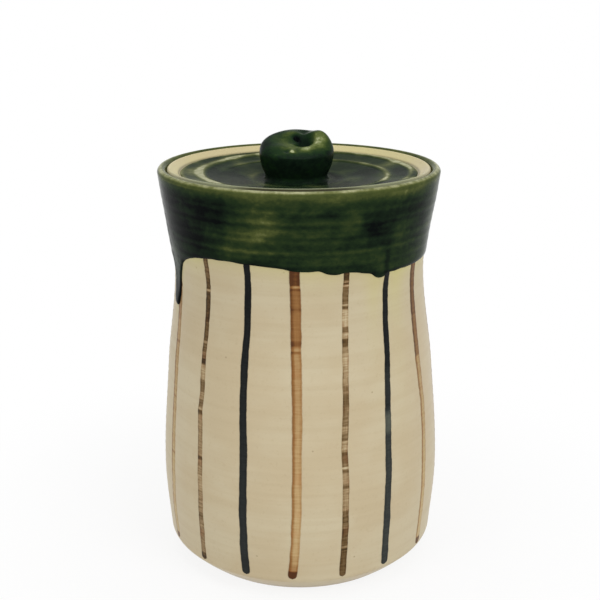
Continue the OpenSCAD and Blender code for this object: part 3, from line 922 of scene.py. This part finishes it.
def knob_outline():
    """Outline of the knob before pinching: foot, neck, belly, crown and dimple, by quarter turns."""
    q = np.radians(np.linspace(0, 90, 21))
    stretches = [
        (KNOB_FOOT_R + (KNOB_NECK_R - KNOB_FOOT_R) * np.sin(q), KNOB_NECK * (1 - np.cos(q))),
        (KNOB_NECK_R + (KNOB_R - KNOB_NECK_R) * np.sin(q), KNOB_NECK + (KNOB_BELLY - KNOB_NECK) * q / q[-1]),
        (CROWN_R + (KNOB_R - CROWN_R) * np.maximum(np.cos(q), 0) ** SHOULDER,
         KNOB_BELLY + (KNOB_H - KNOB_BELLY) * np.sin(q)),
        (CROWN_R * (1 - q / q[-1]), KNOB_H - DIMPLE * (1 - np.cos(2 * q)) / 2)]
    outline = [(0, 0), (KNOB_FOOT_R, 0)]
    for radii, heights in stretches:
        outline += [(float(r), float(z)) for r, z in zip(radii[1:], heights[1:])]
    return outline


def make_knob():
    """The knob: a turned ball of clay, then pinched to one side and dimpled with a fingertip."""
    knob = thrown("pinched_knob", knob_outline(), KNOB_STEPS)
    radius, turn, height = round_places(knob)
    share = np.where(radius < CROWN_R, np.where(height > KNOB_BELLY, 1, 0),
                     np.clip((height - KNOB_BELLY) / (KNOB_H - KNOB_BELLY), 0, 1))
    lean = radius * np.cos(np.radians(turn)) * math.tan(math.radians(CROWN_LEAN))
    saddle = SADDLE * np.exp(-((turned(turn, SADDLE_TURN) / SADDLE_HALF) ** 4))
    saddle = saddle * np.minimum(1, radius / CROWN_R)
    places = placed(radius, turn, height + pad_z - share * (lean + saddle))
    uneven = np.array([noise.noise(place) for place in places / UNEVEN_SIZE])
    places[:, :2] *= 1 + (KNOB_UNEVEN * uneven / KNOB_R * smoothstep(height, *UNEVEN_HEIGHTS))[:, None]
    right, behind = places[:, :2].copy().T

    def near(place_right, place_behind, size):
        """Soft spot of a radius round a place on the crown."""
        reach = (right - place_right) ** 2 + (behind - place_behind) ** 2
        return np.exp(-reach / (2 * size**2))

    places[:, 2] += share * sum(rise * near(*spot) for *spot, rise in KNOB_LUMPS)
    places[:, 0] += KNOB_SHIFT
    write_places(knob, places * MM)
    upper = smoothstep(height + GLAZE_WAVER * uneven, *GLAZE_HEIGHTS)
    # Paler spots on the front rim of the dimple are painted highlights; the rest is thin or thick glaze.
    tint = sum(change * near(*spot) for *spot, change in KNOB_TINTS_AND_HIGHLIGHTS)
    write_mark(knob, "depth", KNOB_DEPTH + upper * tint)
    return knob


# Materials

def srgb(red, green, blue):
    """A colour given as it looks on a screen, from 0 to 255, as the linear colour that nodes take."""
    share = [v / 255 for v in (red, green, blue)]
    return (*(v / 12.92 if v <= 0.04045 else ((v + 0.055) / 1.055) ** 2.4 for v in share), 1)


def put(tree, kind, inputs=None, **settings):
    """Add a node, with its settings, and its inputs as values or joined to other nodes."""
    node = tree.nodes.new("ShaderNode" + kind)
    for name, value in settings.items():
        setattr(node, name, value)
    for name, value in (inputs or {}).items():
        if isinstance(value, bpy.types.NodeSocket):
            tree.links.new(value, node.inputs[name])
        else:
            node.inputs[name].default_value = value
    return node


def maths(tree, operation, a, b=0.0):
    """Result of a sum on two values."""
    return put(tree, "Math", {0: a, 1: b}, operation=operation).outputs[0]


def added(tree, value, *parts):
    """A value with parts added to it, each given as a value and its share."""
    for part, share in parts:
        value = maths(tree, "ADD", value, maths(tree, "MULTIPLY", part, share))
    return value


def span(tree, value, low, high, to_low=0.0, to_high=1.0):
    """A value moved softly from one span to another."""
    inputs = {"Value": value, "From Min": low, "From Max": high, "To Min": to_low, "To Max": to_high}
    return put(tree, "MapRange", inputs, interpolation_type="SMOOTHSTEP").outputs[0]


def mixed(tree, share, a, b, way="MIX"):
    """Two colours mixed by a share."""
    node = put(tree, "Mix", {0: share, 6: a, 7: b}, data_type="RGBA", blend_type=way)
    return node.outputs[2]


def ramp(tree, value, stops):
    """A colour picked along stops of place and colour."""
    node = put(tree, "ValToRGB", {"Fac": value})
    elements = node.color_ramp.elements
    while len(elements) < len(stops):
        elements.new(0.5)
    for element, (place, colour) in zip(elements, stops):
        element.position = place
        element.color = colour
    return node.outputs["Color"]


def mark(tree, name):
    """A value that a piece keeps at its points."""
    return put(tree, "Attribute", attribute_name=name).outputs["Fac"]


def grain(tree, stretch, detail=3.0, roughness=0.5):
    """Noise over the object's own coordinates, with features of 1 / stretch metres along each axis."""
    place = put(tree, "TexCoord").outputs["Object"]
    place = put(tree, "Mapping", {"Vector": place, "Scale": stretch}).outputs[0]
    inputs = {"Vector": place, "Scale": 1.0, "Detail": detail, "Roughness": roughness}
    return put(tree, "TexNoise", inputs).outputs["Fac"]


VALUE, COLOUR = "NodeSocketFloat", "NodeSocketColor"


def group(name, inputs, outputs):
    """An empty node group with named sockets. Returns it with its two end nodes."""
    tree = bpy.data.node_groups.new(name, "ShaderNodeTree")
    for socket, value in inputs.items():
        tree.interface.new_socket(socket, in_out="INPUT", socket_type=VALUE).default_value = value
    for socket, kind in outputs.items():
        tree.interface.new_socket(socket, in_out="OUTPUT", socket_type=kind)
    return tree, tree.nodes.new("NodeGroupInput").outputs, tree.nodes.new("NodeGroupOutput").inputs


def use(tree, made, inputs=None):
    """Place a node group in a material."""
    return put(tree, "Group", inputs, node_tree=made).outputs


def join(tree, ends, results):
    """Join results to the inputs of an end node, by name."""
    for name, result in results.items():
        tree.links.new(result, ends[name])


LOOK = {"Color": COLOUR, "Roughness": VALUE, "Height": VALUE}
# Colours of the cream glaze: its clouds, level lines, grain and iron specks, green haze, greenish painted
# shade on the lid's front, soil and painted shade, and the bare clay of the foot
CREAM = srgb(196, 180, 148)
CREAM_CLOUD = srgb(201, 188, 158)
CREAM_LINE = srgb(189, 172, 139)
CREAM_GRAIN = srgb(160, 136, 100)
SPECK = srgb(120, 92, 62)
GREEN_HAZE = srgb(200, 191, 134)
PAINTED_FRONT_SHADE = srgb(122, 132, 106)
SOIL_AND_SHADE = srgb(56, 54, 33)
BARE_CLAY = srgb(206, 184, 152)
# Green glaze from thin to thick
GREEN_STOPS = ((0, srgb(168, 168, 128)), (0.12, srgb(108, 112, 64)), (0.26, srgb(74, 82, 38)),
               (0.42, srgb(48, 60, 28)), (0.58, srgb(32, 48, 24)), (0.75, srgb(20, 34, 20)),
               (1, srgb(6, 10, 10)))
# Noise in the glazes, as features per metre along each axis, detail and roughness: level lines that follow
# the potter's wheel, soft clouds and fine grain of the cream, and streaks, clouds and mottle of the green
CREAM_NOISE = (((9, 9, 330), 4), ((26, 26, 38), 3), ((700, 700, 700), 2))
GREEN_NOISE = (((34, 34, 250), 4, 0.6), ((70, 70, 110), 5, 0.7), ((330, 330, 420), 3, 0.6))


def pale_glaze_look():
    """Warm cream glaze: level lines, soft clouds, a few iron specks and a green blush under the neck."""
    tree, _, out = group("pale_glaze_look", {}, LOOK)
    line, cloud, fine = (grain(tree, *settings) for settings in CREAM_NOISE)
    colour = mixed(tree, span(tree, cloud, 0.36, 0.64), CREAM, CREAM_CLOUD)
    colour = mixed(tree, span(tree, line, 0.4, 0.68, 0, 0.3), colour, CREAM_LINE)
    colour = mixed(tree, span(tree, fine, 0.55, 0.8, 0, 0.14), colour, CREAM_GRAIN)
    place = put(tree, "TexCoord").outputs["Object"]
    cells = put(tree, "TexVoronoi", {"Vector": place, "Scale": 150.0}).outputs
    chance = put(tree, "SeparateColor", {0: cells["Color"]}).outputs[0]
    speck = span(tree, cells["Distance"], 0.04, 0.09, 0.4, 0)
    speck = maths(tree, "MULTIPLY", speck, maths(tree, "GREATER_THAN", chance, 0.9))
    colour = mixed(tree, speck, colour, SPECK)
    haze = maths(tree, "MULTIPLY", mark(tree, "fume"), span(tree, cloud, 0.3, 0.7, 0.5, 1))
    colour = mixed(tree, maths(tree, "MINIMUM", haze, 1), colour, GREEN_HAZE)
    # Greenish painted shade on the front of the lid.
    colour = mixed(tree, mark(tree, "front_shade"), colour, PAINTED_FRONT_SHADE)
    # Soil, and painted shade on the jar's wall under the neck and on the lid's edge.
    colour = mixed(tree, mark(tree, "soil_and_shade"), colour, SOIL_AND_SHADE)
    height = put(tree, "SeparateXYZ", {0: place}).outputs["Z"]
    bare = span(tree, added(tree, height, (cloud, 0.0012)), 0.0012, 0.0018, 1, 0)
    rough = span(tree, cloud, 0.3, 0.7, 0.3, 0.42)
    join(tree, out, {"Color": mixed(tree, bare, colour, BARE_CLAY),
                     "Roughness": added(tree, rough, (bare, 0.4)),
                     "Height": added(tree, line, (fine, 0.12))})
    return tree


def green_glaze_look():
    """Copper-green glaze: olive where it lies thin, bottle green, and blue-black where it pools."""
    inputs = {"Depth": 0.5, "Streaks": 0.3, "Clouds": 0.2, "Mottle": 0.2, "Richness": 1, "Hue": 0.5}
    tree, given, out = group("green_glaze_look", inputs, LOOK)
    streak, cloud, fine = (maths(tree, "SUBTRACT", grain(tree, *settings), 0.5) for settings in GREEN_NOISE)
    uneven = added(tree, 0.0, (streak, given["Streaks"]), (cloud, given["Clouds"]), (fine, given["Mottle"]))
    depth = added(tree, given["Depth"], (uneven, maths(tree, "SUBTRACT", 1, mark(tree, "even"))))
    colour = {"Color": ramp(tree, depth, GREEN_STOPS), "Saturation": given["Richness"], "Hue": given["Hue"]}
    join(tree, out, {"Color": put(tree, "HueSaturation", colour).outputs[0],
                     "Roughness": span(tree, cloud, -0.3, 0.3, 0.14, 0.26),
                     "Height": added(tree, cloud, (streak, 0.6))})
    return tree


def brushed_pigment():
    """Pigment that a brush left: cross-bands along the stroke, dry streaks and darker edges."""
    inputs = {"Left Edge": 0.3, "Right Edge": 0.2, "Bands": 0.3, "Dryness": 0.2}
    tree, given, out = group("brushed_pigment", inputs, {"Amount": VALUE, "Cover": VALUE, "Tint": VALUE})
    across, along, seed = (mark(tree, name) for name in ("across", "along", "seed"))

    def along_noise(step_across, step_along, detail):
        """Noise drawn out across or along the stroke."""
        place = put(tree, "CombineXYZ", {0: maths(tree, "MULTIPLY", across, step_across),
                                         1: maths(tree, "MULTIPLY", along, step_along), 2: seed})
        inputs = {"Vector": place.outputs[0], "Scale": 1.0, "Detail": detail, "Roughness": 0.6}
        return maths(tree, "SUBTRACT", put(tree, "TexNoise", inputs).outputs["Fac"], 0.5)

    parts = {"Bands": along_noise(0.25, 0.9, 3.0), "Dryness": along_noise(3.2, 0.12, 2.0),
             "Left Edge": span(tree, across, -0.8, -0.1, 1, 0), "Right Edge": span(tree, across, 0.3, 0.8)}
    amount = added(tree, mark(tree, "load"), *((part, given[name]) for name, part in parts.items()))
    rim = span(tree, maths(tree, "ABSOLUTE", across), 0.8, 1, 1, 0)
    join(tree, out, {"Amount": amount, "Tint": along_noise(0.2, 0.1, 1.0),
                     "Cover": maths(tree, "MULTIPLY", span(tree, amount, 0.02, 0.4), rim)})
    return tree


def material(name):
    """A new material, returned with its tree and its shader."""
    made = bpy.data.materials.new(name)
    made.use_nodes = True
    return made, made.node_tree, made.node_tree.nodes["Principled BSDF"]


# Depth of the fine relief in the pale and the green glaze, and how strongly the pale glaze mirrors
PALE_RELIEF = 0.12
GREEN_RELIEF = 0.1
PALE_IOR = 1.18


def finish_surface(tree, shader, colour, look, depth, ior):
    """Join a colour and a look's other results to the shader, with a relief of so many millimetres."""
    bump = put(tree, "Bump", {"Height": look["Height"], "Distance": depth * MM, "Strength": 1.0})
    join(tree, shader.inputs,
         {"Base Color": colour, "Roughness": look["Roughness"], "Normal": bump.outputs[0]})
    shader.inputs["IOR"].default_value = ior


def pale_material(name, look):
    """Cream glaze of the jar and the lid."""
    made, tree, shader = material(name)
    glaze = use(tree, look)
    finish_surface(tree, shader, glaze["Color"], glaze, PALE_RELIEF, PALE_IOR)
    return made


def green_material(name, look, ior, **settings):
    """Green glaze of the neck, the dish or the knob."""
    made, tree, shader = material(name)
    glaze = use(tree, look, {"Depth": mark(tree, "depth"), **settings})
    finish_surface(tree, shader, glaze["Color"], glaze, GREEN_RELIEF, ior)
    return made


def pigment_material(kind, look, brush):
    """Pigment of one kind of stroke over the cream glaze."""
    made, tree, shader = material(kind["finish"])
    glaze = use(tree, look)
    pigment = use(tree, brush, kind["settings"])
    colour = ramp(tree, pigment["Amount"], [(place, srgb(*shade)) for place, shade in kind["stops"]])
    share = span(tree, pigment["Tint"], 0, 0.25, 0, 0.5)
    colour = mixed(tree, share, colour, srgb(*kind["tint"]), "MULTIPLY")
    rust = mark(tree, "rust")
    burnt = {"Color": colour, "Hue": span(tree, rust, 0, 1, 0.51, 0.5),
             "Saturation": span(tree, rust, 0, 1, 0.95, 1)}
    colour = mixed(tree, pigment["Cover"], glaze["Color"], put(tree, "HueSaturation", burnt).outputs[0])
    finish_surface(tree, shader, colour, glaze, PALE_RELIEF, PALE_IOR)
    return made


def dress(piece, body, slot, finish, *nodes):
    """Give a piece its finish and its place in the frame."""
    piece.data.materials.clear()
    piece.data.materials.append(finish)
    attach(piece, body)
    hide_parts(*nodes)


pale_look = pale_glaze_look()
green_look = green_glaze_look()
brush_look = brushed_pigment()
pale = pale_material("pale_glaze", pale_look)
neck_green = green_material("green_neck_glaze", green_look, 1.08,
                            Streaks=0.18, Clouds=0.8, Mottle=0.35, Richness=0.94)
dish_green = green_material("green_dish_glaze", green_look, 1.03,
                            Streaks=0.1, Clouds=0.35, Mottle=0.3, Richness=0.85)
knob_green = green_material("green_knob_glaze", green_look, 1.06,
                            Streaks=0.1, Clouds=0.6, Mottle=0.45, Hue=0.525)

dress(make_jar(), "jar", "pale_glaze", pale, "jar_body")
dress(make_neck_glaze(), "jar", "green_glaze", neck_green, "jar_green_glaze")
for name, kind in STROKES.items():
    finish = pigment_material(kind, pale_look, brush_look)
    dress(make_strokes(name, kind), "jar", kind["slot"], finish, kind["node"])
dress(make_lid(), "lid", "pale_glaze", pale, "lid_plate")
dress(make_dish_glaze(), "lid", "green_glaze", dish_green, "lid_green_glaze")
dress(make_knob(), "lid", "green_glaze", knob_green, "lid_knob")


# Stage

# Lamps: place in metres, power and size. Each is aimed at a place on the jar.
LAMPS = {
    "key_lamp": ((0.88, -0.95, 1.25), 9.5, 0.9),
    "fill_lamp": ((-1.1, -0.9, 0.9), 4.2, 0.9),
    "low_lamp": ((0.2, -1.3, 0.12), 1.9, 0.7),
    "top_lamp": ((0, 0.1, 1.5), 6.5, 1.2),
}
LAMP_AIM = (0, 0, 0.1)
# Floor: size, drop below the foot, grey, share of white near the jar and the distances where it grows
FLOOR_R = 4
FLOOR_DROP = 0.1
FLOOR_GREY = (0.88, 0.88, 0.88, 1)
FLOOR_WHITE = 0.86
WHITE_FROM = (0.08, 0.26)
WHITE = (1, 1, 1, 1)
# Strength of the light from all sides, where 1 is the white background
SKY = 0.5


def make_lamp(name, place, energy, size):
    """A soft square lamp aimed at the jar."""
    lamp = bpy.data.lights.new(name, "AREA")
    lamp.energy = energy
    lamp.size = size
    holder = bpy.data.objects.new(name, lamp)
    holder.location = place
    holder.rotation_euler = (Vector(LAMP_AIM) - Vector(place)).to_track_quat("-Z", "Y").to_euler()
    bpy.context.scene.collection.objects.link(holder)


def background_share(tree):
    """1 for rays that show the background: to the camera, in reflections and through glass."""
    path = put(tree, "LightPath").outputs
    seen = maths(tree, "MAXIMUM", path["Is Camera Ray"], path["Is Glossy Ray"])
    return maths(tree, "MAXIMUM", seen, path["Is Transmission Ray"])


def make_floor():
    """A pale floor that keeps the jar's shadow and turns white away from it."""
    add = bpy.ops.mesh.primitive_circle_add
    floor = begin("studio_floor", add, vertices=96, radius=FLOOR_R, fill_type="NGON")
    floor.location.z = -FLOOR_DROP * MM
    made, tree, _ = material("studio_floor")
    tree.nodes.clear()
    place = put(tree, "TexCoord").outputs["Object"]
    distance = put(tree, "VectorMath", {0: place}, operation="LENGTH").outputs["Value"]
    white = span(tree, distance, *WHITE_FROM, FLOOR_WHITE, 1)
    shaded = put(tree, "BsdfDiffuse", {"Color": FLOOR_GREY}).outputs[0]
    glow = put(tree, "Emission", {"Color": WHITE, "Strength": 1.0}).outputs[0]
    lifted = put(tree, "MixShader", {0: white, 1: shaded, 2: glow}).outputs[0]
    seen = put(tree, "MixShader", {0: background_share(tree), 1: shaded, 2: lifted}).outputs[0]
    put(tree, "OutputMaterial", {"Surface": seen})
    floor.data.materials.append(made)


def make_world():
    """Soft light from all sides, with a white background."""
    world = bpy.data.worlds.new("studio")
    world.use_nodes = True
    tree = world.node_tree
    backdrop = tree.nodes["Background"].inputs
    backdrop["Color"].default_value = WHITE
    tree.links.new(span(tree, background_share(tree), 0, 1, SKY, 1), backdrop["Strength"])
    bpy.context.scene.world = world


def make_camera():
    """The camera at the photograph's place and angle."""
    lens = bpy.data.cameras.new("camera")
    lens.lens = CAMERA_LENS
    lens.sensor_width = SENSOR_W
    lens.clip_start = 0.01
    camera = bpy.data.objects.new("camera", lens)
    camera.location = Vector(CAMERA_PLACE) * MM
    camera.rotation_euler = (math.radians(90 - CAMERA_DIP), 0, 0)
    bpy.context.scene.collection.objects.link(camera)
    bpy.context.scene.camera = camera


make_floor()
make_world()
for name, lamp in LAMPS.items():
    make_lamp(name, *lamp)
make_camera()
bpy.context.scene.view_settings.view_transform = "Standard"
